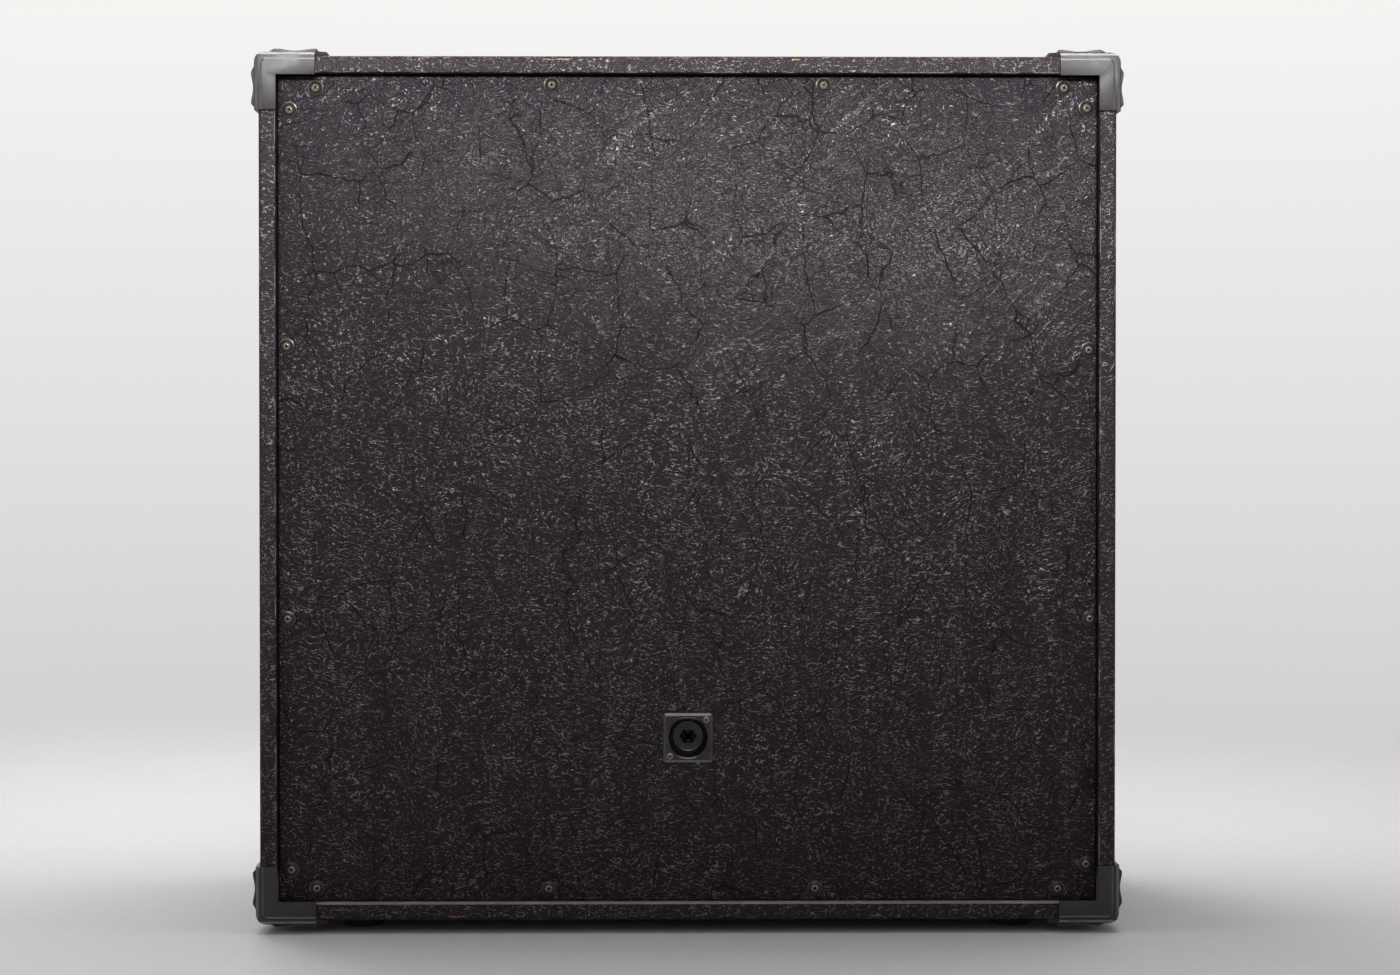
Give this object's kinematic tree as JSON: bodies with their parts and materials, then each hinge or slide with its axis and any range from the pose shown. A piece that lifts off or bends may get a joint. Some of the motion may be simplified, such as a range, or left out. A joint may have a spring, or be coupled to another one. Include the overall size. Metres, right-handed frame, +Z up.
{
  "type": "pa speaker cabinet",
  "caption": "Square closed-back loudspeaker cabinet in black grained vinyl, with moulded stacking corners, screwed back panel, jack plate, side handles and cloth grille.",
  "frame": {"origin": "on the floor under the middle of the cabinet", "axes": "+Z up, +Y towards the back panel with the jack, +X to the left of someone facing the back panel"},
  "size_m": [0.776, 0.363, 0.787],
  "materials": {
    "plywood": "raw birch plywood",
    "shell_vinyl": "black grained vinyl, satin",
    "panel_vinyl": "black grained vinyl on plywood, satin",
    "corner_moulding": "satin black moulding",
    "foot_rubber": "matt black rubber",
    "handle_dish": "satin black moulding",
    "handle_grip": "satin black moulding",
    "jack_plate": "satin black moulding",
    "jack_socket": "black moulding, satin",
    "screw_steel": "dull plated steel",
    "basket_steel": "black enamel",
    "magnet_ferrite": "ferrite between zinc-plated steel plates",
    "cone_paper": "pressed paper",
    "grille_cloth": "woven black grille cloth",
    "wire_insulation": "smooth insulation"
  },
  "bodies": {
    "cabinet": {"back_panel": "panel_vinyl", "baffle_board": "plywood", "batten_frame": "plywood", "bottom_board": "plywood", "centre_post": "plywood", "corner_bottom_back_left": "corner_moulding", "corner_bottom_back_right": "corner_moulding", "corner_bottom_front_left": "corner_moulding", "corner_bottom_front_right": "corner_moulding", "corner_top_back_left": "corner_moulding", "corner_top_back_right": "corner_moulding", "corner_top_front_left": "corner_moulding", "corner_top_front_right": "corner_moulding", "driver_basket_lower_left": "basket_steel", "driver_basket_lower_right": "basket_steel", "driver_basket_upper_left": "basket_steel", "driver_basket_upper_right": "basket_steel", "driver_magnet_lower_left": "magnet_ferrite", "driver_magnet_lower_right": "magnet_ferrite", "driver_magnet_upper_left": "magnet_ferrite", "driver_magnet_upper_right": "magnet_ferrite", "foot_back_left": "foot_rubber", "foot_back_right": "foot_rubber", "foot_front_left": "foot_rubber", "foot_front_right": "foot_rubber", "grille_cloth": "grille_cloth", "grille_frame": "plywood", "handle_dish_left": "handle_dish", "handle_dish_right": "handle_dish", "handle_grip_left": "handle_grip", "handle_grip_right": "handle_grip", "jack_plate": "jack_plate", "jack_plate_screw_lower": "screw_steel", "jack_plate_screw_upper": "screw_steel", "jack_socket": "jack_socket", "left_side_board": "plywood", "panel_screw_bottom_1": "screw_steel", "panel_screw_bottom_2": "screw_steel", "panel_screw_bottom_3": "screw_steel", "panel_screw_bottom_4": "screw_steel", "panel_screw_left_1": "screw_steel", "panel_screw_left_2": "screw_steel", "panel_screw_left_3": "screw_steel", "panel_screw_left_4": "screw_steel", "panel_screw_right_1": "screw_steel", "panel_screw_right_2": "screw_steel", "panel_screw_right_3": "screw_steel", "panel_screw_right_4": "screw_steel", "panel_screw_top_1": "screw_steel", "panel_screw_top_2": "screw_steel", "panel_screw_top_3": "screw_steel", "panel_screw_top_4": "screw_steel", "right_side_board": "plywood", "top_board": "plywood", "vinyl_covering": "shell_vinyl", "wiring_harness": "wire_insulation"},
    "cone_upper_right": {"driver_cone_upper_right": "cone_paper"},
    "cone_upper_left": {"driver_cone_upper_left": "cone_paper"},
    "cone_lower_right": {"driver_cone_lower_right": "cone_paper"},
    "cone_lower_left": {"driver_cone_lower_left": "cone_paper"}
  },
  "joints": [
    {"name": "cone_travel_upper_right", "type": "slide", "parent": "cabinet", "child": "cone_upper_right", "axis": [0, 1, 0], "range_m": [-0.004, 0.004], "stiffness_N_per_m": 3000},
    {"name": "cone_travel_upper_left", "type": "slide", "parent": "cabinet", "child": "cone_upper_left", "axis": [0, 1, 0], "range_m": [-0.004, 0.004], "stiffness_N_per_m": 3000},
    {"name": "cone_travel_lower_right", "type": "slide", "parent": "cabinet", "child": "cone_lower_right", "axis": [0, 1, 0], "range_m": [-0.004, 0.004], "stiffness_N_per_m": 3000},
    {"name": "cone_travel_lower_left", "type": "slide", "parent": "cabinet", "child": "cone_lower_left", "axis": [0, 1, 0], "range_m": [-0.004, 0.004], "stiffness_N_per_m": 3000}
  ]
}
